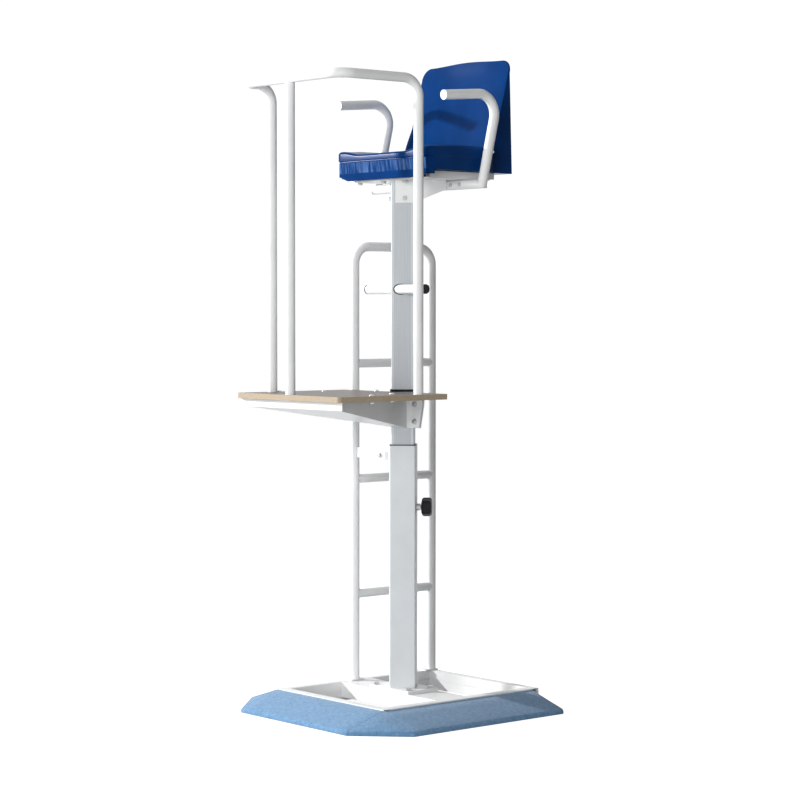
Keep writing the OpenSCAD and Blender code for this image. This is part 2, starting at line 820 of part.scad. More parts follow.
// The side view of the pan, seen along X, sunk by the wall for the hollow.
module seat_side(wall) {
    front = seat_front - wall;
    top = seat_top - wall;
    nose = seat_nose - wall;
    translate([-front, seat_top - seat_front_skirt - eps])
        square([seat_front_skirt, seat_front_skirt - seat_nose + eps]);
    translate([-front + nose, seat_top - seat_side_skirt - eps])
        square([front - nose + seat_rear - wall, seat_side_skirt - wall + eps]);
    translate([-front + nose, top - nose]) circle(nose);
}

// The pan seen from above, with its round front corners.
module seat_plan(wall) {
    half = seat_half - wall;
    front = seat_front - wall;
    r = seat_corner - wall;
    rear = seat_rear - wall;
    translate([-half, r - front]) square([2 * half, front - r + rear]);
    translate([r - half, -front]) square([2 * (half - r), front + rear]);
    for (side = [-1, 1]) translate([side * (half - r), r - front]) circle(r);
}

module seat_body(wall) {
    difference() {
        intersection() {
            translate([-seat_w, 0, 0]) rotate([90, 0, 90]) linear_extrude(2 * seat_w)
                seat_side(wall);
            translate([0, 0, seat_top - 2 * seat_front_skirt])
                linear_extrude(3 * seat_front_skirt) seat_plan(wall);
        }
        translate([0, -2 * seat_front, seat_mid - wall + seat_sag_r]) rotate([-90, 0, 0])
            cylinder(r = seat_sag_r, h = 2 * seat_front + 2 * seat_rear, $fn = 180);
    }
}

module seat_pan() {
    skirt_back = seat_skirt_d - seat_front;
    color(blue) difference() {
        union() {
            difference() {
                seat_body(0);
                seat_body(seat_wall);
                translate([-seat_w, skirt_back, seat_top - 2 * seat_front_skirt])
                    cube([2 * seat_w, seat_front + seat_rear,
                          2 * seat_front_skirt - seat_side_skirt]);
                translate([0, 0, seat_top - 2 * seat_front_skirt])
                    linear_extrude(2 * seat_front_skirt - seat_nose - seat_wall)
                        seat_plan(seat_wall);
                translate([-seat_w, -2 * seat_front, seat_top - seat_front_skirt - 2 * eps])
                    cube([2 * seat_w, 2 * seat_front + seat_rear, 2 * eps]);
            }
            for (x = [-1, 1], y = [-seat_rail_front + 2 * seat_boss_r, seat_rear - 4 * seat_boss_r])
                translate([x * seat_rail_pitch / 2, y, seat_rail_top])
                    cylinder(r = seat_boss_r, h = seat_rise - seat_wall / 2);
        }
    }
}

// The side view of the backrest: upright behind, leaning back in front.
module back_side(wall, open) {
    rear = back_front + back_foot + open;
    front = back_front + wall;
    top = back_h - wall;
    steep = (back_top_set - back_high_set) / (back_h - back_high_h);
    polygon([[front, -open], [front, back_low_h], [front + back_high_set, back_high_h],
             [front + back_high_set + steep * (top - back_high_h), top],
             [rear, top], [rear, -open]]);
}

// The front view of the backrest, with its round top corners.
module back_outline(wall) {
    half = back_w / 2 - wall;
    top = back_h - wall;
    r = back_corner - wall;
    translate([-half, -2 * wall]) square([2 * half, top - r + 2 * wall]);
    translate([r - half, 0]) square([2 * (half - r), top]);
    for (side = [-1, 1]) translate([side * (half - r), top - r]) circle(r);
}

module back_body(wall, open) {
    deep = 2 * (back_front + back_foot);
    intersection() {
        translate([-back_w, 0, 0]) rotate([90, 0, 90]) linear_extrude(2 * back_w)
            back_side(wall, open);
        translate([0, deep, 0]) rotate([90, 0, 0]) linear_extrude(deep) back_outline(wall);
    }
}

module seat_back() {
    color(blue) translate([0, 0, seat_rail_top]) difference() {
        back_body(0, 0);
        back_body(seat_wall, 2 * seat_wall);
    }
}

// --- armrests ---

// The bend and the arm, at the left.
module armrest_left() {
    color(white) translate([arm_x, arm_bend_y, arm_bend_z]) rotate([arm_drop, 0, 0]) {
        rotate([0, -90, 0]) bend(arm_bend, 90 + arm_lean + arm_drop);
        translate([0, 0, arm_bend]) rotate([90, 0, 0]) tube(arm_l);
    }
}

module armrest_right() { mirrored() armrest_left(); }

// An upright leans back and is mitred to its foot.
module armrest_upright_left() {
    big = 6 * tube_d;
    color(white) translate([arm_x, arm_y, arm_z]) difference() {
        rotate([-arm_lean, 0, 0]) translate([0, 0, -tube_d])
            tube(tube_d + arm_upright / cos(arm_lean) - weld_gap);
        rotate([0, 45, 0]) translate([-big / 2, -big / 2, weld_gap - big]) cube(big);
    }
}

module armrest_upright_right() { mirrored() armrest_upright_left(); }

module armrest_foot_left() {
    big = 6 * tube_d;
    color(white) difference() {
        translate([arm_foot_in, arm_y, arm_z]) tube_x(arm_x + tube_d - arm_foot_in);
        translate([arm_x, arm_y, arm_z]) rotate([0, 45, 0])
            translate([-big / 2, -big / 2, 0]) cube(big);
    }
}

module armrest_foot_right() { mirrored() armrest_foot_left(); }

module armrest_caps() {
    color(white) for (side = [0, 1]) mirror([side, 0, 0])
        translate([arm_x, arm_bend_y, arm_bend_z]) rotate([arm_drop, 0, 0])
            translate([0, -arm_l, arm_bend]) rotate([90, 0, 0]) end_cap();
}

placed() frame_rail_front();
placed() frame_rail_rear();
placed() frame_rail_left();
placed() frame_rail_right();
placed() frame_beam();
placed() skirt_front();
placed() skirt_left();
placed() skirt_right();
placed() skirt_corner_left();
placed() skirt_corner_right();
placed() column_foot();
placed() column_outer();
placed() column_guide();
placed() clamp_boss();
placed() ladder_upright_front();
placed() ladder_upright_rear();
placed() ladder_bow();
placed() ladder_rung_low();
placed() ladder_rung_middle();
placed() ladder_rung_high();
placed() ladder_feet();
placed() ladder_brace();
placed() brace_block();
placed() column_inner();
placed() column_collar();
placed() deck_board();
placed() deck_flange();
placed() deck_cheek_left();
placed() deck_cheek_right();
placed() deck_floor_plate();
placed() deck_rear_clamp();
placed() rail_left();
placed() rail_front();
placed() rail_right();
placed() rail_post();
placed() footrest_bar();
placed() footrest_caps();
placed() seat_plate();
placed() seat_bracket_left();
placed() seat_bracket_right();
placed() seat_rails();
placed() seat_pan();
placed() seat_back();
placed() armrest_upright_left();
placed() armrest_upright_right();
placed() armrest_left();
placed() armrest_right();
placed() armrest_foot_left();
placed() armrest_foot_right();
placed() armrest_caps();
placed() clamp_screw();
placed() clamp_knob();
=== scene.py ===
"""The looks of a volleyball referee chair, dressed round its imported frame."""

import json
import logging
import math
from dataclasses import dataclass, field
from enum import Enum
from typing import Callable, Sequence

import bmesh
import bpy
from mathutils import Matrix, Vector


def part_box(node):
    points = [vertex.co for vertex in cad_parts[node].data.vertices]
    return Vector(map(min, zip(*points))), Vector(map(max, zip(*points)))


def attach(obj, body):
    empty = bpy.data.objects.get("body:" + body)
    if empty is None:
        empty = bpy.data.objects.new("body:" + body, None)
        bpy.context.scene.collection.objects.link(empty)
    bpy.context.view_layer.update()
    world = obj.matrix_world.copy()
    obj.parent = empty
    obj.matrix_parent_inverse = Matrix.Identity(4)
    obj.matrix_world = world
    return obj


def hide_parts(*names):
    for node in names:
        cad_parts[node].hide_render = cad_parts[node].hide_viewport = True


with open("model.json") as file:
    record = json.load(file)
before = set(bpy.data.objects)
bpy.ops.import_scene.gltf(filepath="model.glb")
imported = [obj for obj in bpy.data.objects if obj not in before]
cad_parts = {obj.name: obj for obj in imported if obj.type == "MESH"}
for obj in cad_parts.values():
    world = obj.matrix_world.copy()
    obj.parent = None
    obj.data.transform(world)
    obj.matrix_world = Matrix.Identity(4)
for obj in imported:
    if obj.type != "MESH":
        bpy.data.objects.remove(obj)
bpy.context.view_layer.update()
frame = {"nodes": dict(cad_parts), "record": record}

LOG = logging.getLogger("chair")

# The least distance that tells two places apart, and the millimetres in a metre.
NEAR = 1e-4
MM = 1000.0
SIGNS = (-1, 1)
WHITE = (1.0, 1.0, 1.0, 1.0)

Where = Callable[[Vector], bool]
Facing = Callable[[Vector, Vector], bool]
Vectors = tuple[Vector, Vector]
Pair = tuple[float, float]
Triple = tuple[float, float, float]
Socket = bpy.types.NodeSocket


class Body(Enum):
    """The bodies that pieces move with."""

    BASE = "base"
    MAST = "mast"
    KNOB = "knob"


class Slot(Enum):
    """The record's material slots."""

    WHITE = "white_paint"
    GREY = "grey_paint"
    ALUMINIUM = "aluminium"
    ZINC = "zinc_steel"
    BLACK = "black_plastic"
    FELT = "felt"
    PLYWOOD = "plywood"
    BLUE = "blue_plastic"


class Side(Enum):
    """A side of the chair, by the sign of X."""

    LEFT = 1
    RIGHT = -1


def column_axis() -> Vector:
    """Returns the point of the column's axis on the floor."""
    low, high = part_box("column_inner")
    return Vector(((low.x + high.x) / 2, (low.y + high.y) / 2, 0.0))


def from_column(x: float, y: float, z: float) -> Vector:
    """A point given in millimetres from the column's axis.

    Args:
        x: Towards the referee's left.
        y: Towards the rear.
        z: Height above the floor.

    Returns:
        The point in metres, in the frame's own axes.
    """
    return column_axis() + Vector((x, y, z)) / MM


def shade(colour: Triple, factor: float) -> Triple:
    """A darker or lighter version of a colour.

    Args:
        colour: The colour.
        factor: What each part is multiplied by.

    Returns:
        The new colour.
    """
    return tuple(min(part * factor, 1.0) for part in colour)


def plain_rays(tree: bpy.types.NodeTree) -> Socket:
    """A mask of the rays that look straight at a surface, and not those that light it.

    Args:
        tree: The tree that the mask goes into.

    Returns:
        1 for camera, glossy and transmission rays.
    """
    path = tree.nodes.new("ShaderNodeLightPath")
    mask = path.outputs["Is Camera Ray"]
    for ray in ("Is Glossy Ray", "Is Transmission Ray"):
        either = tree.nodes.new("ShaderNodeMath")
        either.operation = "MAXIMUM"
        tree.links.new(mask, either.inputs[0])
        tree.links.new(path.outputs[ray], either.inputs[1])
        mask = either.outputs[0]
    return mask


# --- finishes ---


class Graph:
    """The node tree of one material, on object coordinates."""

    def __init__(self, name: str) -> None:
        """Makes a material with a plain shader.

        Args:
            name: The material's name.
        """
        self.material = bpy.data.materials.new(name)
        self.material.use_nodes = True
        self.tree = self.material.node_tree
        self.tree.nodes.clear()
        self.shader = self.node("ShaderNodeBsdfPrincipled")
        output = self.node("ShaderNodeOutputMaterial")
        self.tree.links.new(self.shader.outputs["BSDF"], output.inputs["Surface"])
        self.place = self.node("ShaderNodeTexCoord").outputs["Object"]

    def node(self, kind: str, **settings: object) -> bpy.types.Node:
        """Adds a node.

        Args:
            kind: The node's type name.
            settings: Properties of the node.

        Returns:
            The new node.
        """
        made = self.tree.nodes.new(kind)
        for key, value in settings.items():
            setattr(made, key, value)
        return made

    def join(self, source: object, target: Socket) -> None:
        """Links a socket or sets a constant.

        Args:
            source: An output socket, or a value.
            target: The input socket.
        """
        if isinstance(source, Socket):
            self.tree.links.new(source, target)
        else:
            target.default_value = source

    def math(self, operation: str, *values: object) -> Socket:
        """Calculates with one or two values.

        Args:
            operation: The name of the operation.
            values: Sockets or numbers.

        Returns:
            The result.
        """
        made = self.node("ShaderNodeMath", operation=operation)
        for index, value in enumerate(values):
            self.join(value, made.inputs[index])
        return made.outputs[0]

    def noise(self, scale: float, detail: float = 3.0, place: object = None) -> Socket:
        """Adds a noise.

        Args:
            scale: Its scale, per metre.
            detail: Its detail.
            place: The coordinates, if they aren't the object's own.

        Returns:
            The noise, about 0 to 1.
        """
        made = self.node("ShaderNodeTexNoise")
        self.join(place or self.place, made.inputs["Vector"])
        made.inputs["Scale"].default_value = scale
        made.inputs["Detail"].default_value = detail
        return made.outputs["Fac"]

    def ramp(self, factor: Socket, stops: Sequence[tuple[float, Triple]]) -> Socket:
        """Maps a factor to colours.

        Args:
            factor: The factor.
            stops: Positions, each with a colour.

        Returns:
            The colour.
        """
        made = self.node("ShaderNodeValToRGB")
        elements = made.color_ramp.elements
        while len(elements) < len(stops):
            elements.new(0.5)
        for element, (position, colour) in zip(elements, stops):
            element.position = position
            element.color = (*colour, 1.0)
        self.join(factor, made.inputs["Fac"])
        return made.outputs["Color"]

    def mix(self, factor: object, first: object, second: object) -> Socket:
        """Mixes two colours.

        Args:
            factor: 0 gives the first, 1 the second.
            first: A colour.
            second: A colour.

        Returns:
            The mixed colour.
        """
        made = self.node("ShaderNodeMix", data_type="RGBA")
        self.join(factor, made.inputs["Factor"])
        for value, socket in ((first, made.inputs[6]), (second, made.inputs[7])):
            self.join(value if isinstance(value, Socket) else (*value, 1.0), socket)
        return made.outputs[2]

    def mapped(self, **changes: Triple) -> Socket:
        """The coordinates, moved, turned or scaled.

        Args:
            changes: A Location, Rotation or Scale.

        Returns:
            The new coordinates.
        """
        made = self.node("ShaderNodeMapping", vector_type="POINT")
        for name, value in changes.items():
            made.inputs[name].default_value = value
        self.join(self.place, made.inputs["Vector"])
        return made.outputs["Vector"]

    def split(self, source: Socket) -> tuple[Socket, ...]:
        """The three parts of a vector.

        Args:
            source: The vector.

        Returns:
            Its parts along X, Y and Z.
        """
        made = self.node("ShaderNodeSeparateXYZ")
        self.join(source, made.inputs["Vector"])
        return tuple(made.outputs)

    def normal(self) -> tuple[Socket, ...]:
        """Returns the surface normal's three parts, in the object's axes."""
        return self.split(self.node("ShaderNodeNewGeometry").outputs["Normal"])

    def bump(self, height: Socket, strength: float, distance: float) -> None:
        """Gives the shader a bump.

        Args:
            height: The height, about 0 to 1.
            strength: The bump's strength.
            distance: The height of 1, in metres.
        """
        made = self.node("ShaderNodeBump")
        made.inputs["Strength"].default_value = strength
        made.inputs["Distance"].default_value = distance
        self.join(height, made.inputs["Height"])
        self.join(made.outputs["Normal"], self.shader.inputs["Normal"])


@dataclass(frozen=True)
class Finish:
    """A plain finish with a faint grain."""

    name: str
    colour: Triple
    roughness: float = 0.4
    metallic: float = 0.0
    grain: float = 600.0
    grain_height: float = 0.00008
    specular: float = 0.5

    def build(self) -> bpy.types.Material:
        """Makes the finish into a material.

        Returns:
            The material.
        """
        graph = Graph(self.name)
        inputs = graph.shader.inputs
        inputs["Metallic"].default_value = self.metallic
        inputs["Roughness"].default_value = self.roughness
        inputs["Specular IOR Level"].default_value = self.specular
        self.dress(graph)
        return graph.material

    def dress(self, graph: Graph) -> None:
        """Adds colour and relief.

        Args:
            graph: The material's nodes.
        """
        patches = graph.ramp(graph.noise(9.0, 4.0), ((0.35, shade(self.colour, 0.94)), (0.65, self.colour)))
        graph.join(patches, graph.shader.inputs["Base Color"])
        graph.bump(graph.noise(self.grain, 2.0), 0.25, self.grain_height)


@dataclass(frozen=True)
class RibbedMetal(Finish):
    """Brushed metal with fine ribs along a square tube that stands on its corner."""

    pitch: float = 0.0062
    half: float = 0.0375
    plain_corner: float = 0.009
    rib_height: float = 0.0004

    def dress(self, graph: Graph) -> None:
        """Adds the ribs, the brushed grain and the painted highlight on the plain corners.

        Args:
            graph: The material's nodes.
        """
        shift = column_axis()
        graph.place = graph.mapped(Location=(-shift.x, -shift.y, 0.0))
        along, across, _ = graph.split(graph.mapped(Rotation=(0.0, 0.0, -math.pi / 4)))
        rib: object = 0.0
        corner: object = 1.0
        for axis in (along, across):
            wave = graph.math("SINE", graph.math("MULTIPLY", axis, math.tau / self.pitch))
            size = graph.math("ABSOLUTE", axis)
            rib = graph.math("ADD", rib, wave)
            outer = graph.math("GREATER_THAN", size, self.half - self.plain_corner)
            corner = graph.math("MULTIPLY", corner, outer)
        ribs = graph.math("MULTIPLY", rib, graph.math("SUBTRACT", 1.0, corner))
        brushed = graph.noise(900.0, 3.0, graph.mapped(Scale=(1.0, 1.0, 0.01)))
        tone = graph.math("ADD", graph.math("MULTIPLY", ribs, 0.1), brushed)
        faces = graph.ramp(tone, ((0.25, shade(self.colour, 0.84)), (0.75, self.colour)))
        # The corners stay plain without ribs, which is real, and are painted lighter than the faces, which
        # is a painted highlight.
        graph.join(graph.mix(corner, faces, shade(self.colour, 1.1)), graph.shader.inputs["Base Color"])
        graph.bump(ribs, 0.24, self.rib_height)


@dataclass(frozen=True)
class Felt(Finish):
    """Needled felt: mottled, matt, with short fibres."""

    light: Triple = (0.192, 0.366, 0.58)
    fibre_height: float = 0.0012

    def dress(self, graph: Graph) -> None:
        """Adds the fibres and the mottling.

        Args:
            graph: The material's nodes.
        """
        fibres = graph.math("MULTIPLY", graph.noise(420.0, 6.0), 0.6)
        mottle = graph.math("MULTIPLY", graph.noise(90.0, 4.0), 0.4)
        both = graph.math("ADD", fibres, mottle)
        tint = graph.ramp(both, ((0.36, self.colour), (0.64, self.light)))
        graph.join(tint, graph.shader.inputs["Base Color"])
        graph.shader.inputs["Sheen Weight"].default_value = 0.25
        graph.shader.inputs["Sheen Roughness"].default_value = 0.6
        graph.bump(both, 0.9, self.fibre_height)


@dataclass(frozen=True)
class FacedPlywood(Finish):
    """Plywood with a dark film on its faces and plies at its edges."""

    ply: float = 0.0013
    pale: Triple = (0.43, 0.345, 0.245)
    brown: Triple = (0.31, 0.235, 0.155)

    def dress(self, graph: Graph) -> None:
        """Adds the film and the plies.

        Args:
            graph: The material's nodes.
        """
        height = graph.split(graph.place)[2]
        wave = graph.math("SINE", graph.math("MULTIPLY", height, math.pi / self.ply))
        streak = graph.math("ADD", graph.math("MULTIPLY", wave, 0.3), graph.noise(120.0, 5.0))
        edge = graph.ramp(streak, ((0.3, self.brown), (0.7, self.pale)))
        film = graph.ramp(graph.noise(260.0, 5.0), ((0.4, self.colour), (0.6, shade(self.colour, 1.35))))
        up = graph.math("GREATER_THAN", graph.math("ABSOLUTE", graph.normal()[2]), 0.7)
        graph.join(graph.mix(up, edge, film), graph.shader.inputs["Base Color"])
        graph.bump(graph.noise(500.0, 2.0), 0.3, 0.0002)


@dataclass(frozen=True)
class MouldedShell(Finish):
    """Glossy moulded plastic with a fine grain, ribs in the front band and painted highlight streaks on that
    band.
    """

    rib: float = 0.0042
    band: Pair = (1.789, 1.828)
    band_soft: float = 0.003
    seam: float = 0.052
    seam_half: float = 0.0011
    # The colour of the painted highlight streaks, which stand in for the lamp's reflection in the ribs.
    painted_highlight: Triple = (0.12, 0.23, 0.5)

    def dress(self, graph: Graph) -> None:
        """Adds the grain, the ribs and the painted highlight streaks.

        Args:
            graph: The material's nodes.
        """
        along, _, height = graph.split(graph.place)
        front = graph.math("LESS_THAN", graph.normal()[1], -0.8)
        low, high = self.band
        up = graph.math("DIVIDE", graph.math("SUBTRACT", height, low), self.band_soft)
        down = graph.math("DIVIDE", graph.math("SUBTRACT", high, height), self.band_soft)
        inside = graph.math("MINIMUM", graph.math("MINIMUM", up, down), 1.0)
        mask = graph.math("MULTIPLY", graph.math("MAXIMUM", inside, 0.0), front)
        wave = graph.math("SINE", graph.math("MULTIPLY", along, math.tau / self.rib))
        uneven = graph.math("MULTIPLY", wave, graph.noise(14.0, 1.0))
        grain = graph.math("MULTIPLY", graph.noise(900.0, 2.0), 0.12)
        tint = graph.ramp(graph.noise(14.0, 3.0), ((0.4, shade(self.colour, 0.86)), (0.6, self.colour)))
        # Painted highlight: pale vertical streaks are mixed into the band's colour, standing in for the
        # lamp's reflection in the ribs.
        streak = graph.noise(95.0, 4.0, graph.mapped(Scale=(1.0, 0.0, 0.12)))
        streak = graph.math("SUBTRACT", streak, 0.42)
        streak = graph.math("MULTIPLY", streak, 2.2)
        painted_highlight = graph.math("MAXIMUM", graph.math("MULTIPLY", streak, mask), 0.0)
        graph.join(graph.mix(painted_highlight, tint, self.painted_highlight), graph.shader.inputs["Base Color"])
        seam = graph.math("PINGPONG", along, self.seam / 2)
        seam = graph.math("MULTIPLY", graph.math("LESS_THAN", seam, self.seam_half), -1.5)
        relief = graph.math("MULTIPLY", graph.math("ADD", uneven, seam), mask)
        graph.bump(graph.math("ADD", relief, grain), 0.5, 0.0007)


FINISHES: dict[Slot, Finish] = {
    Slot.WHITE: Finish("white_powder_coat", (0.84, 0.85, 0.85), 0.34),
    Slot.GREY: Finish("grey_powder_coat", (0.71, 0.742, 0.763), 0.42),
    Slot.ALUMINIUM: RibbedMetal("ribbed_aluminium", (0.545, 0.577, 0.61), 0.5, 0.2),
    Slot.ZINC: Finish("zinc_plate", (0.55, 0.56, 0.57), 0.34, 0.9),
    Slot.BLACK: Finish("black_plastic", (0.008, 0.008, 0.010), 0.5, grain_height=0.0002, specular=0.2),
    Slot.FELT: Felt("blue_felt", (0.080, 0.196, 0.365), 0.95, specular=0.1),
    Slot.PLYWOOD: FacedPlywood("faced_plywood", (0.075, 0.062, 0.055), 0.42),
    Slot.BLUE: MouldedShell("blue_shell", (0.001, 0.034, 0.155), 0.22, specular=0.035),
}


class Paints:
    """Builds each finish once and hands it out."""

    def __init__(self) -> None:
        """Builds every finish."""
        self.made = {slot: finish.build() for slot, finish in FINISHES.items()}

    def give(self, obj: bpy.types.Object, slot: Slot) -> None:
        """Puts a finish on an object.

        Args:
            obj: The object.
            slot: The finish's slot.
        """
        obj.data.materials.clear()
        obj.data.materials.append(self.made[slot])


# --- modelling ---


class Bench:
    """Models one piece with the edit-mode tools."""

    def __init__(self, name: str) -> None:
        """Takes the active object, puts its place into its mesh and names it.

        Args:
            name: The piece's name.
        """
        self.obj = bpy.context.active_object
        self.obj.name = name
        self.obj.data.name = name
        bpy.ops.object.transform_apply(location=True, rotation=True, scale=True)

    @classmethod
    def cube(cls, name: str, low: Vector, high: Vector) -> "Bench":
        """Starts from a cube.

        Args:
            name: The piece's name.
            low: The lowest corner.
            high: The highest corner.

        Returns:
            The bench.
        """
        bpy.ops.object.select_all(action="DESELECT")
        bpy.ops.mesh.primitive_cube_add(size=1.0, location=(low + high) / 2, scale=high - low)
        return cls(name)

    @classmethod
    def cylinder(cls, name: str, start: Vector, end: Vector, radius: float, sides: int = 40) -> "Bench":
        """Starts from a cylinder between two points.

        Args:
            name: The piece's name.
            start: The middle of one end.
            end: The middle of the other end.
            radius: The radius.
            sides: The number of sides.

        Returns:
            The bench.
        """
        along = end - start
        bpy.ops.object.select_all(action="DESELECT")
        turn = along.to_track_quat("Z", "Y").to_euler()
        bpy.ops.mesh.primitive_cylinder_add(
            vertices=sides, radius=radius, depth=along.length, location=(start + end) / 2, rotation=turn
        )
        return cls(name)

    def _pick(self) -> None:
        """Makes the piece the only selected object, and the active one."""
        bpy.ops.object.select_all(action="DESELECT")
        self.obj.select_set(True)
        bpy.context.view_layer.objects.active = self.obj

    def _mark(self, mode: str, wanted: Callable[[object], bool]) -> "Bench":
        """Enters edit mode and selects parts of the mesh.

        Args:
            mode: VERT, EDGE or FACE.
            wanted: Says if a vertex, edge or face is wanted.

        Returns:
            The bench, in edit mode.
        """
        self._pick()
        bpy.ops.object.mode_set(mode="EDIT")
        bpy.ops.mesh.select_mode(type=mode)
        bpy.ops.mesh.select_all(action="DESELECT")
        mesh = bmesh.from_edit_mesh(self.obj.data)
        for part in {"VERT": mesh.verts, "EDGE": mesh.edges, "FACE": mesh.faces}[mode]:
            part.select = wanted(part)
        mesh.select_flush_mode()
        bmesh.update_edit_mesh(self.obj.data)
        return self

    def faces(self, wanted: Facing) -> "Bench":
        """Selects faces by their middle and normal.

        Args:
            wanted: Says if a face is wanted.

        Returns:
            The bench, in edit mode.
        """
        return self._mark("FACE", lambda face: wanted(face.calc_center_median(), face.normal))

    def edges(self, wanted: Facing) -> "Bench":
        """Selects edges by their middle and direction.

        Args:
            wanted: Says if an edge is wanted.

        Returns:
            The bench, in edit mode.
        """
        return self._mark(
            "EDGE",
            lambda edge: wanted(
                (edge.verts[0].co + edge.verts[1].co) / 2, (edge.verts[1].co - edge.verts[0].co).normalized()
            ),
        )

    def points(self, wanted: Where) -> "Bench":
        """Selects vertices by their place.

        Args:
            wanted: Says if a vertex is wanted.

        Returns:
            The bench, in edit mode.
        """
        return self._mark("VERT", lambda vert: wanted(vert.co))

    def leave(self) -> "Bench":
        """Returns the bench, back in object mode."""
        bpy.ops.object.mode_set(mode="OBJECT")
        return self

    def bevel(self, width: float, segments: int = 3) -> "Bench":
        """Rounds the selected edges.

        Args:
            width: The width of the rounding.
            segments: The number of segments.

        Returns:
            The bench, in object mode.
        """
        bpy.ops.mesh.bevel(offset=width, segments=segments, affect="EDGES", clamp_overlap=True)
        return self.leave()

    def bevel_rim(self, width: float, segments: int = 6) -> "Bench":
        """Rounds the border of the selected faces.

        Args:
            width: The width of the rounding.
            segments: The number of segments.

        Returns:
            The bench, in object mode.
        """
        bpy.ops.mesh.region_to_loop()
        return self.bevel(width, segments)

    def inset(self, width: float, depth: float = 0.0) -> "Bench":
        """Insets the selected faces.

        Args:
            width: The inset's width.
            depth: How far the inset faces rise.

        Returns:
            The bench, in object mode.
        """
        bpy.ops.mesh.inset(thickness=width, depth=depth)
        return self.leave()

    def extrude(self, move: Vector) -> "Bench":
        """Extrudes the selected faces.

        Args:
            move: The way they move.

        Returns:
            The bench, in object mode.
        """
        bpy.ops.mesh.extrude_region_move(TRANSFORM_OT_translate={"value": tuple(move)})
        return self.leave()

    def move(self, way: Vector, reach: float = 0.0) -> "Bench":
        """Moves what is selected, and softly what is near it.

        Args:
            way: The way it moves.
            reach: The reach of the soft move, or 0.

        Returns:
            The bench, in object mode.
        """
        bpy.ops.transform.translate(
            value=tuple(way),
            use_proportional_edit=reach > 0.0,
            proportional_edit_falloff="SMOOTH",
            proportional_size=reach or 1.0,
        )
        return self.leave()

    def resize(self, factors: Triple, centre: Vector) -> "Bench":
        """Scales what is selected.

        Args:
            factors: The scale along X, Y and Z.
            centre: The point that stays.

        Returns:
            The bench, in object mode.
        """
        bpy.ops.transform.resize(value=factors, center_override=tuple(centre))
        return self.leave()

    def cut(self, point: Vector, normal: Vector, clear: bool = False) -> "Bench":
        """Cuts the whole mesh with a plane.

        Args:
            point: A point of the plane.
            normal: The plane's normal.
            clear: Whether the side that the normal points to goes, and the cut is closed.

        Returns:
            The bench, in object mode.
        """
        self._mark("FACE", lambda face: True)
        bpy.ops.mesh.bisect(
            plane_co=tuple(point), plane_no=tuple(normal), use_fill=clear, clear_outer=clear, threshold=1e-5
        )
        return self.leave()

    def cuts(self, axis: int, places: Sequence[float]) -> "Bench":
        """Adds edge loops across one axis.

        Args:
            axis: 0, 1 or 2 for X, Y or Z.
            places: Where the loops go.

        Returns:
            The bench, in object mode.
        """
        normal = Vector([float(index == axis) for index in range(3)])
        for place in places:
            self.cut(normal * place, normal)
        return self

    def round_edges(self, width: float, segments: int = 3, angle: float = 35.0) -> "Bench":
        """Rounds every sharp edge with a modifier and applies it.

        Args:
            width: The width of the rounding.
            segments: The number of segments.
            angle: The least angle that counts as sharp, in degrees.

        Returns:
            The bench.
        """
        made = self.obj.modifiers.new("round", "BEVEL")
        made.width = width
        made.segments = segments
        made.limit_method = "ANGLE"
        made.angle_limit = math.radians(angle)
        self._pick()
        bpy.ops.object.modifier_apply(modifier=made.name)
        return self

    def absorb(self, others: Sequence["Bench"]) -> "Bench":
        """Joins other pieces into this one.

        Args:
            others: The other benches.

        Returns:
            The bench.
        """
        self._pick()
        for other in others:
            other.obj.select_set(True)
        bpy.ops.object.join()
        return self

    def copy(self, name: str, place: Vector, toward: Vector) -> "Bench":
        """Copies a piece that was built at the origin along +Z.

        Args:
            name: The copy's name.
            place: Where its origin goes.
            toward: Where its +Z goes.

        Returns:
            The copy's bench.
        """
        self._pick()
        bpy.ops.object.duplicate(linked=False)
        made = bpy.context.active_object
        made.location = place
        made.rotation_euler = toward.to_track_quat("Z", "Y").to_euler()
        return Bench(name)

    def drop(self) -> None:
        """Removes the piece, when it was only a pattern for copies."""
        bpy.data.objects.remove(self.obj, do_unlink=True)

    def done(self, body: Body, slot: Slot, paints: Paints, smooth: float = 35.0) -> bpy.types.Object:
        """Finishes the piece.

        Args:
            body: The body it moves with.
            slot: Its finish.
            paints: The finishes.
            smooth: The angle up to which it is smooth, in degrees.

        Returns:
            The finished object.
        """
        self._pick()
        bpy.ops.object.shade_smooth_by_angle(angle=math.radians(smooth))
        paints.give(self.obj, slot)
        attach(self.obj, body.value)
        LOG.info("%s: %d faces", self.obj.name, len(self.obj.data.polygons))
        return self.obj


# --- the parts of the chair ---


@dataclass
class FrameLooks:
    """Gives every shown CAD node its finish."""

    paints: Paints

    def build(self) -> None:
        """Paints the nodes by the record's slots."""
        slots = {row["node"]: Slot(row["material_slot"]) for row in frame["record"]["subparts"]}
        for name, obj in frame["nodes"].items():
            self.paints.give(obj, slots[name])
            LOG.info("%s: %s", name, slots[name].value)


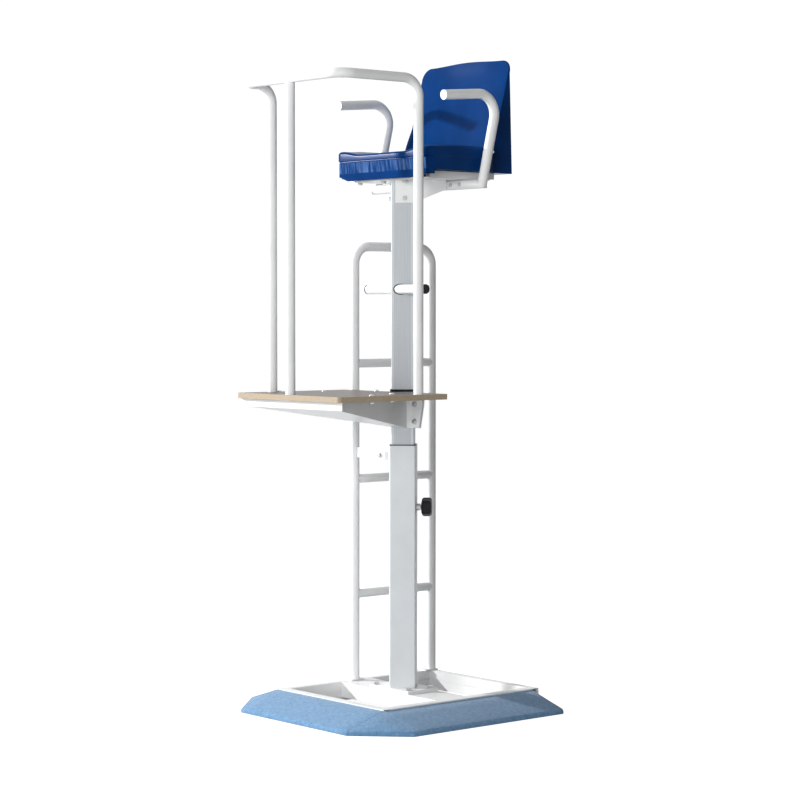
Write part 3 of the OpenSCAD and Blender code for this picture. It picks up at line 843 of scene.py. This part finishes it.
@dataclass
class PaddedSkirt:
    """The felt wedges round the floor frame."""

    paints: Paints
    edge: float = 0.008
    crease: float = 0.0014
    lip: float = 0.015
    half_height: float = 0.03
    cell: float = 0.045

    def wedge(self, node: str) -> Bench:
        """Models one straight wedge over its node.

        Args:
            node: The CAD node.

        Returns:
            The wedge.
        """
        low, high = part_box(node)
        bench = Bench.cube(node + "_pad", low, high)
        side = 1 if node == "skirt_front" else 0
        outer = low[side] if node != "skirt_left" else high[side]
        bench.points(lambda co: abs(co[side] - outer) < NEAR and co.z > self.half_height)
        bench.move(Vector((0.0, 0.0, self.lip - high.z)))
        return bench

    def corner(self, side: Side) -> Bench:
        """Models one corner facet.

        Args:
            side: The side it is on.

        Returns:
            The facet.
        """
        node = f"skirt_corner_{side.name.lower()}"
        low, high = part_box(node)
        bench = Bench.cube(node + "_pad", low, high)
        inner, out = (low.x, high.x) if side is Side.LEFT else (high.x, low.x)
        bench.cut(Vector((out, high.y, 0.0)), Vector((float(side.value), -1.0, 0.0)), clear=True)
        first = Vector((inner, high.y, high.z))
        rise = (Vector((out, high.y, self.lip)) - first).cross(Vector((inner, low.y, self.lip)) - first)
        if rise.z < 0:
            rise.negate()
        bench.cut(first, rise, clear=True)
        return bench

    def build(self) -> None:
        """Builds the wedges and the facets."""
        for node in ("skirt_front", "skirt_left", "skirt_right"):
            self.finish(self.wedge(node), node)
        for side in Side:
            self.finish(self.corner(side), f"skirt_corner_{side.name.lower()}")

    def finish(self, bench: Bench, node: str) -> None:
        """Args:
            bench: The wedge.
            node: The node that it stands for.
        """
        bench.edges(lambda co, way: abs(co.z - self.lip) < 0.001 and abs(way.z) < 0.3)
        bench.bevel(self.edge, 5)
        bench.round_edges(self.crease, 2, 12.0)
        low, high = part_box(node)
        for axis in (0, 1):
            count = max(int((high[axis] - low[axis]) / self.cell), 1)
            width = (high[axis] - low[axis]) / count
            bench.cuts(axis, [low[axis] + width * index for index in range(1, count)])
        made = bench.done(Body.BASE, Slot.FELT, self.paints, 50.0)
        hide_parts(node)


@dataclass
class SeatShell:
    """The moulded seat: a dished pan with a groove and a ribbed band in front."""

    paints: Paints
    box: Vectors = field(default_factory=lambda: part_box("seat_pan"))
    corner: float = 0.030
    rear_corner: float = 0.012
    rim: float = 0.030
    hem: float = 0.009
    wall: float = 0.005
    hollow: float = 0.050
    step: float = 0.022
    step_y: Pair = (0.022, 0.032)
    grid: tuple[int, int] = (28, 20)
    first_row: int = 3
    dip: float = 0.020
    dip_half: float = 0.12
    dip_front: float = 0.048
    dip_reach: float = 0.115
    lip: float = 0.004
    lip_y: float = 0.012
    lip_reach: float = 0.085
    hang: Pair = (0.022, 0.03)
    hang_reach: float = 0.035
    groove: float = 0.040
    groove_half: Pair = (0.0035, 0.0012)
    skin: float = 0.003
    tuck: float = 0.014
    groove_scale: Triple = (0.9915, 0.986, 1.0)
    band_scale: Triple = (0.9950, 0.992, 1.0)
    hem_scale: Triple = (0.985, 0.978, 1.0)

    def build(self) -> None:
        """Builds the shell over its node."""
        bench = Bench.cube("seat_shell", *self.box)
        self.block(bench)
        self.relief(bench)
        self.tighten(bench)
        made = bench.done(Body.MAST, Slot.BLUE, self.paints, 38.0)
        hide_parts("seat_pan")

    def block(self, bench: Bench) -> None:
        """Rounds the block, steps its underside and hollows it.

        Args:
            bench: The seat.
        """
        low, high = self.box
        bench.edges(lambda co, way: abs(way.z) > 0.9 and co.y < low.y + 0.001)
        bench.bevel(self.corner, 8)
        bench.edges(lambda co, way: abs(way.z) > 0.9 and co.y > high.y - 0.001)
        bench.bevel(self.rear_corner, 4)
        bench.faces(lambda co, normal: normal.z > 0.9)
        bench.bevel_rim(self.rim, 8)
        bench.cuts(1, [low.y + place for place in self.step_y])
        bench.points(lambda co: co.z < low.z + NEAR and co.y > low.y + self.step_y[1] - NEAR)
        bench.move(Vector((0.0, 0.0, self.step)))
        bench.faces(lambda co, normal: normal.z < -0.3)
        bench.bevel_rim(self.hem, 5)
        bench.faces(lambda co, normal: normal.z < -0.3 and self.depth(co) > self.hem)
        bench.inset(self.wall)
        bench.faces(lambda co, normal: normal.z < -0.3 and self.depth(co) > self.hem + self.wall)
        bench.extrude(Vector((0.0, 0.0, self.hollow)))

    def relief(self, bench: Bench) -> None:
        """Dishes the top, drops its front lip and lifts the lower front corners.

        Args:
            bench: The seat.
        """
        low, high = self.box
        size = high - low
        across, deep = self.grid
        bench.cuts(0, [low.x + size.x * index / across for index in range(1, across)])
        bench.cuts(1, [low.y + size.y * index / deep for index in range(self.first_row, deep)])
        dip_y = low.y + self.dip_front
        bench.points(lambda co: co.z > high.z - 0.004 and abs(co.x) < self.dip_half and co.y > dip_y)
        bench.move(Vector((0.0, 0.0, -self.dip)), self.dip_reach)
        bench.points(lambda co: co.z > high.z - self.rim - NEAR and co.y < low.y + self.lip_y)
        bench.move(Vector((0.0, 0.0, -self.lip)), self.lip_reach)
        hang_x, hang_y = high.x - self.hang[0], low.y + self.hang[1]
        bench.points(lambda co: co.z < low.z + 0.002 and abs(co.x) > hang_x and co.y < hang_y)
        bench.move(Vector((0.0, 0.0, self.hem)), self.hang_reach)

    def tighten(self, bench: Bench) -> None:
        """Draws in the groove, the band below it and the hem.

        Args:
            bench: The seat.
        """
        low, high = self.box
        line = high.z - self.groove
        outer, inner = self.groove_half
        bench.cuts(2, [line - outer, line - inner, line + inner, line + outer])
        bench.points(lambda co: abs(co.z - line) < 0.0015 and self.depth(co) < self.skin)
        bench.resize(self.groove_scale, Vector((0.0, high.y, line)))
        bench.points(lambda co: co.z < line - self.skin and self.depth(co) < self.skin)
        bench.resize(self.band_scale, Vector((0.0, high.y, line)))
        bench.points(lambda co: co.z < low.z + self.tuck and self.depth(co) < self.tuck)
        bench.resize(self.hem_scale, Vector((0.0, high.y, low.z)))

    def depth(self, co: Vector) -> float:
        """How deep a point lies inside the shell's outline, seen from above.

        Args:
            co: The point.

        Returns:
            The depth in metres.
        """
        low, high = self.box
        plain = min(co.x - low.x, high.x - co.x, co.y - low.y, high.y - co.y)
        over = Vector((abs(co.x) - high.x + self.corner, low.y + self.corner - co.y))
        if over.x > 0.0 and over.y > 0.0:
            return min(plain, self.corner - over.length)
        return plain


@dataclass
class Backrest:
    """The moulded backrest: a curved sheet with flanges that run back."""

    paints: Paints
    box: Vectors = field(default_factory=lambda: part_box("seat_back"))
    wall: float = 0.005
    corner: float = 0.040
    crown: float = 0.007
    concave: float = 0.010
    wide_cells: int = 22
    crest: Triple = (0.351, 0.362, 0.374)
    pull_in: float = 0.0105
    bow_half: Triple = (0.05, 0.2, 0.11)
    bow_reach: float = 0.16
    crown_from: float = 0.17
    edge: float = 0.003
    front: tuple[Pair, ...] = (
        (0.0, 0.0), (0.030, 0.0), (0.060, 0.0005), (0.084, 0.003), (0.105, 0.009), (0.127, 0.018),
        (0.150, 0.028), (0.172, 0.038), (0.200, 0.0465), (0.230, 0.055), (0.260, 0.063),
        (0.290, 0.070), (0.318, 0.0765), (0.340, 0.0820), (0.386, 0.093),
    )

    def build(self) -> None:
        """Builds the backrest over its node."""
        low, high = self.box
        bench = Bench.cube("backrest", low, Vector((high.x, high.y, low.z + self.front[1][0])))
        before = self.front[1]
        for ring in self.front[2:]:
            top = low.z + before[0]
            bench.faces(lambda co, normal: normal.z > 0.9 and co.z > top - NEAR)
            bench.extrude(Vector((0.0, 0.0, ring[0] - before[0])))
            before = ring
        for height, back in self.front:
            level = low.z + height
            bench.points(lambda co: abs(co.z - level) < NEAR and co.y < low.y + 0.02)
            bench.move(Vector((0.0, back, 0.0)))
            end = self.rear(height, back, high.y - low.y)
            bench.points(lambda co: abs(co.z - level) < NEAR and co.y > high.y - 0.001)
            bench.move(Vector((0.0, end - (high.y - low.y), 0.0)))
        bench.edges(lambda co, way: abs(way.y) > 0.9 and co.z > high.z - 1e-3)
        bench.bevel(self.corner, 8)
        bench.faces(lambda co, normal: normal.y > 0.5)
        bench.inset(self.wall)
        points = [vert.co.copy() for vert in bench.obj.data.vertices]
        for level in sorted({round(co.z, 5) for co in points if self.inner(co)}):
            bench.points(lambda co: abs(co.z - level) < NEAR and self.inner(co))
            plane = low.y + self.back_at(level - low.z) + self.wall
            bench.resize((1.0, 0.0, 1.0), Vector((0.0, plane, 0.0)))
        cells = self.wide_cells
        bench.cuts(0, [low.x + (high.x - low.x) * index / cells for index in range(1, cells)])
        bench.cuts(2, [low.z + level for level in self.crest])
        side, middle, tall = self.bow_half
        middle += low.z
        bench.points(lambda co: abs(co.x) < side and abs(co.z - middle) < tall and co.y < high.y - 0.02)
        bench.move(Vector((0.0, self.concave, 0.0)), self.bow_reach)
        bench.points(lambda co: co.z > high.z - 0.006 and abs(co.x) > self.crown_from)
        bench.move(Vector((0.0, 0.0, -self.crown)), self.crown_from)
        bench.edges(lambda co, way: abs(way.x) < 0.9 and abs(abs(co.x) - high.x) < NEAR and self.lip(co))
        bench.bevel(self.edge, 3)
        made = bench.done(Body.MAST, Slot.BLUE, self.paints, 42.0)
        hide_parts("seat_back")

    def back_at(self, height: float) -> float:
        """How far the front lies behind its foot at a height.

        Args:
            height: The height above the foot.

        Returns:
            The distance.
        """
        for (low, near), (high, far) in zip(self.front, self.front[1:]):
            if height <= high + 1e-6:
                return near + (far - near) * (height - low) / (high - low)
        return self.front[-1][1]

    def inner(self, co: Vector) -> bool:
        """Whether a point belongs to the hollow's floor.

        Args:
            co: The point.

        Returns:
            True inside the rim.
        """
        low, high = self.box
        side = min(high.x - abs(co.x), co.z - low.z, high.z - co.z)
        over = Vector((abs(co.x) - high.x + self.corner, co.z - high.z + self.corner))
        if over.x > 0.0 and over.y > 0.0:
            side = min(side, self.corner - over.length)
        return side > self.wall * 0.6 and co.y > low.y + self.back_at(co.z - low.z) + 0.001

    def lip(self, co: Vector) -> bool:
        """Whether a point lies on the front's side edge.

        Args:
            co: The point.

        Returns:
            True at the front.
        """
        low = self.box[0]
        return abs(co.y - low.y - self.back_at(co.z - low.z)) < 0.004

    def rear(self, height: float, back: float, depth: float) -> float:
        """Where the rear edge lies at a height.

        Args:
            height: The height above the foot.
            back: How far the front lies behind its foot there.
            depth: The depth of the foot.

        Returns:
            The distance behind the front of the foot.
        """
        edge = depth - self.pull_in * height / self.crest[0]
        return max(edge, back + self.wall)


@dataclass
class Fasteners:
    """Bolts, washers and nuts, placed in millimetres from the column's axis."""

    paints: Paints
    head: float = 0.0095
    head_h: float = 0.0066
    dome_share: float = 0.6
    washer: float = 0.011
    washer_h: float = 0.0018
    foot: Pair = (84, 47)
    clamp: Pair = (65, 4.75)
    clamp_levels: Pair = (964, 1022)
    deck: tuple[Pair, ...] = ((176, -198), (240, -334))
    deck_single: Pair = (-80, -50)
    plate: tuple[Pair, ...] = ((-54, -40), (54, -40), (-190, -30), (190, -30))
    arm: Pair = (132, 175)
    arm_sink: float = 0.6
    brace: Pair = (-105, 845)
    bracket: Triple = (35, -23.7, 1703)
    back_y: float = 200
    back_levels: Pair = (1855, 1881)

    def pattern(self, scale: float = 1.0, dome: bool = False) -> Bench:
        """Models a head on its washer, at the origin along +Z.

        Args:
            scale: The size against an M10 bolt.
            dome: Whether the head is a low dome and not a hexagon.

        Returns:
            The pattern.
        """
        floor = self.washer_h * scale
        top = floor + self.head_h * scale
        washer = Bench.cylinder("washer", Vector(), Vector((0, 0, floor)), self.washer * scale, 32)
        washer.edges(lambda co, way: abs(way.z) < 0.5 and co.z > floor - 1e-5 and co.xy.length > 1e-4)
        washer.bevel(0.0004 * scale, 2)
        if dome:
            top = floor + self.head_h * scale * self.dome_share
        sides = 32 if dome else 6
        head = Bench.cylinder("bolt", Vector((0, 0, floor)), Vector((0, 0, top)), self.head * scale, sides)
        head.faces(lambda co, normal: normal.z > 0.9)
        if dome:
            head.bevel_rim((top - floor) * 0.9, 4)
        else:
            head.inset(0.0014 * scale, 0.0006 * scale)
            head.round_edges(0.0003, 2, 20.0)
        return head.absorb([washer])

    def group(
        self, name: str, body: Body, places: Sequence[Vectors], scale: float = 1.0, dome: bool = False
    ) -> bpy.types.Object:
        """Places a group of bolts as one piece.

        Args:
            name: The group's name.
            body: The body it moves with.
            places: Where each head sits and the way it faces.
            scale: The size against an M10 bolt.
            dome: Whether the heads are low domes.

        Returns:
            The group's object.
        """
        pattern = self.pattern(scale, dome)
        copies = [pattern.copy(f"{name}_{index}", place, way) for index, (place, way) in enumerate(places)]
        pattern.drop()
        first = copies[0]
        if len(copies) > 1:
            first.absorb(copies[1:])
        first.obj.name = name
        return first.done(body, Slot.ZINC, self.paints, 30.0)

    def build(self) -> None:
        """Places every group."""
        up, front = Vector((0.0, 0.0, 1.0)), Vector((0.0, -1.0, 0.0))
        foot_x, foot_y = self.foot
        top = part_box("column_foot")[1].z * MM
        places = [(from_column(x, y, top), up) for x in (-foot_x, foot_x) for y in (-foot_y, foot_y)]
        self.group("column_foot_bolts", Body.BASE, places)
        clamp_x, clamp_y = self.clamp
        for name, y, way in (("clamp_bolts", -clamp_y, front), ("clamp_nuts", clamp_y, -front)):
            sides = [(side * clamp_x, z) for side in SIGNS for z in self.clamp_levels]
            self.group(name, Body.MAST, [(from_column(x, y, z), way) for x, z in sides], 0.9)
        under, deck = (corner.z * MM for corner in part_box("deck_board"))
        spots = [(side * x, y) for side in SIGNS for x, y in self.deck] + [self.deck_single]
        self.group("deck_bolts", Body.MAST, [(from_column(x, y, deck), up) for x, y in spots], 0.8, True)
        self.group("deck_nuts", Body.MAST, [(from_column(x, y, under), -up) for x, y in spots[:-1]], 0.85)
        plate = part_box("seat_plate")[0].z * MM
        places = [(from_column(x, y, plate), -up) for x, y in self.plate]
        self.group("seat_plate_bolts", Body.MAST, places, 0.9)
        low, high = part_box("armrest_foot_left")
        face, middle = low.y + self.arm_sink / MM, (low.z + high.z) / 2
        places = [(Vector((side * x / MM, face, middle)), front) for side in SIGNS for x in self.arm]
        self.group("armrest_foot_screws", Body.MAST, places, 0.6)
        face = (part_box("brace_block")[0].y - column_axis().y) * MM
        x, z = self.brace
        self.group("brace_screw", Body.BASE, [(from_column(x, face, z), front)], 0.8)
        x, y, z = self.bracket
        places = [(from_column(side * x, y, z), Vector((side, -1.0, 0.0)).normalized()) for side in SIGNS]
        self.group("seat_bracket_bolts", Body.MAST, places, 0.7)
        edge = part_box("seat_back")[1].x * MM
        places = [
            (from_column(side * edge, self.back_y, z), Vector((side, 0.0, 0.0)))
            for side in SIGNS
            for z in self.back_levels
        ]
        self.group("backrest_screws", Body.MAST, places, 0.45)


@dataclass
class ClampKnob:
    """The domed star knob on the clamp screw."""

    paints: Paints
    lobes: int = 5
    radius: float = 0.032
    valley: float = 0.004
    dome: float = 0.016
    heel: float = 0.011
    reach: Pair = (0.061, 0.0955)
    shares: Pair = (0.36, 0.5)
    notch: Pair = (0.0038, 0.0125)
    hub: float = 0.0105
    hub_ends: Pair = (-0.0018, 0.004)

    def build(self) -> None:
        """Models the knob over its node."""
        low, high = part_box("clamp_knob")
        way = Vector((1.0, 1.0, 0.0)).normalized()
        axis = column_axis()
        centre = Vector((axis.x, axis.y, (low.z + high.z) / 2))
        start, end = (centre + way * place for place in self.reach)
        top = (end - start).length
        bench = Bench.cylinder("star_knob", Vector(), Vector((0.0, 0.0, top)), self.radius, 60)
        bench.cuts(2, [top * share for share in self.shares])
        for lobe in range(self.lobes):
            turn = math.tau * (lobe + 0.5) / self.lobes
            spot = Vector((math.cos(turn), math.sin(turn))) * self.radius
            bench.points(lambda co: (co.xy - spot).length < self.notch[0])
            bench.move(Vector((-spot.x, -spot.y, 0.0)).normalized() * self.valley, self.notch[1])
        bench.faces(lambda co, normal: normal.z > 0.9)
        bench.bevel_rim(self.dome, 8)
        bench.faces(lambda co, normal: normal.z < -0.9)
        bench.bevel_rim(self.heel, 6)
        inner, outer = (Vector((0.0, 0.0, z)) for z in self.hub_ends)
        hub = Bench.cylinder("knob_hub", inner, outer, self.hub, 32)
        hub.faces(lambda co, normal: normal.z < -0.9)
        hub.bevel_rim(0.001, 3)
        bench.absorb([hub])
        placed = bench.copy("clamp_knob_grip", start, way)
        bench.drop()
        made = placed.done(Body.KNOB, Slot.BLACK, self.paints, 40.0)
        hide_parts("clamp_knob")


@dataclass
class FootrestGrommets:
    """Flat oval grommets where the footrest passes through the column."""

    paints: Paints
    width: float = 0.0024
    ends: Pair = (-0.001, 0.0012)
    rounding: float = 0.0008
    column_half: float = 0.0375

    def build(self) -> None:
        """Places a grommet on each face that the footrest enters."""
        low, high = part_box("footrest_bar")
        middle = (low + high) / 2
        radius = (high.z - low.z) / 2 + self.width
        inner, outer = (Vector((0.0, 0.0, z)) for z in self.ends)
        form = Bench.cylinder("grommet_form", inner, outer, radius, 48)
        form.faces(lambda co, normal: normal.z > 0.9)
        form.bevel_rim(self.rounding, 3)
        form.points(lambda co: True)
        form.resize((math.sqrt(2.0), 1.0, 1.0), Vector())
        axis = column_axis()
        across = self.column_half * math.sqrt(2.0) - (axis.y - middle.y)
        for side in Side:
            spot = Vector((side.value * across, middle.y, middle.z))
            way = Vector((float(side.value), -1.0, 0.0)).normalized()
            placed = form.copy(f"footrest_grommet_{side.name.lower()}", spot, way)
            placed.done(Body.MAST, Slot.BLACK, self.paints, 40.0)
        form.drop()


@dataclass
class Studio:
    """Floor, light and camera."""

    paints: Paints
    azimuth: float = 49.88
    fall: float = 2.24
    lens: float = 104.86
    place: Triple = (5.9322, -4.9487, 1.3371)
    floor_size: float = 60.0
    floor_glow: float = 0.92
    even_light: float = 0.11
    backdrop: float = 1.05

    def floor(self) -> None:
        """Lays a plain pale floor that fades into the backdrop."""
        bpy.ops.object.select_all(action="DESELECT")
        bpy.ops.mesh.primitive_plane_add(size=self.floor_size, location=(0.0, 0.0, -0.0005))
        plane = bpy.context.active_object
        plane.name = "floor"
        graph = Graph("floor_white")
        inputs = graph.shader.inputs
        inputs["Roughness"].default_value = 0.9
        inputs["Specular IOR Level"].default_value = 0.1
        inputs["Emission Color"].default_value = WHITE
        tint = graph.ramp(graph.noise(2.0, 2.0), ((0.3, (0.44, 0.44, 0.44)), (0.7, (0.46, 0.46, 0.46))))
        graph.join(tint, inputs["Base Color"])
        glow = graph.math("MULTIPLY", plain_rays(graph.tree), self.floor_glow)
        graph.join(glow, inputs["Emission Strength"])
        plane.data.materials.append(graph.material)

    def lights(self) -> None:
        """Hangs the lights: one low from the right front, one wide from above, one fill."""
        aim = Vector((0.0, 0.0, 1.0))
        for name, way, distance, size, watts in (
            ("key", (-0.761, -0.567, 0.315), 6.45, 0.25, 490.0),
            ("top", (-0.45, -0.35, 1.0), 4.5, 2.6, 62.0),
            ("fill", (0.5, -0.9, 0.15), 7.5, 4.0, 390.0),
        ):
            data = bpy.data.lights.new(name, "AREA")
            data.energy = watts
            data.size = size
            lamp = bpy.data.objects.new(name, data)
            bpy.context.scene.collection.objects.link(lamp)
            lamp.location = aim + Vector(way).normalized() * distance
            lamp.rotation_mode = "QUATERNION"
            lamp.rotation_quaternion = Vector(way).to_track_quat("Z", "Y")
            lamp.visible_glossy = name == "key"

    def world(self) -> None:
        """Makes the backdrop white to the camera and gives a soft even light."""
        world = bpy.data.worlds.new("studio")
        bpy.context.scene.world = world
        world.use_nodes = True
        tree = world.node_tree
        tree.nodes.clear()
        blend = tree.nodes.new("ShaderNodeMixShader")
        output = tree.nodes.new("ShaderNodeOutputWorld")
        tree.links.new(plain_rays(tree), blend.inputs[0])
        for index, strength in ((1, self.even_light), (2, self.backdrop)):
            light = tree.nodes.new("ShaderNodeBackground")
            light.inputs["Color"].default_value = WHITE
            light.inputs["Strength"].default_value = strength
            tree.links.new(light.outputs[0], blend.inputs[index])
        tree.links.new(blend.outputs[0], output.inputs["Surface"])

    def camera(self) -> None:
        """Sets the camera low at the front left."""
        data = bpy.data.cameras.new("camera")
        data.sensor_width = 36.0
        data.lens = self.lens
        camera = bpy.data.objects.new("camera", data)
        bpy.context.scene.collection.objects.link(camera)
        turn, fall = math.radians(self.azimuth), math.radians(self.fall)
        back = Vector((math.sin(turn) * math.cos(fall), -math.cos(turn) * math.cos(fall), math.sin(fall)))
        camera.location = self.place
        camera.rotation_mode = "QUATERNION"
        camera.rotation_quaternion = (-back).to_track_quat("-Z", "Y")
        data.clip_start, data.clip_end = 0.1, 200.0
        bpy.context.scene.camera = camera

    def build(self) -> None:
        """Sets up the studio."""
        self.floor()
        self.lights()
        self.world()
        self.camera()
        bpy.context.scene.view_settings.view_transform = "Standard"


def main() -> None:
    """Builds the chair and its studio in order."""
    logging.basicConfig(level=logging.INFO, format="%(name)s %(message)s")
    paints = Paints()
    FrameLooks(paints).build()
    PaddedSkirt(paints).build()
    SeatShell(paints).build()
    Backrest(paints).build()
    ClampKnob(paints).build()
    FootrestGrommets(paints).build()
    Fasteners(paints).build()
    Studio(paints).build()


if __name__ == "__main__":
    main()
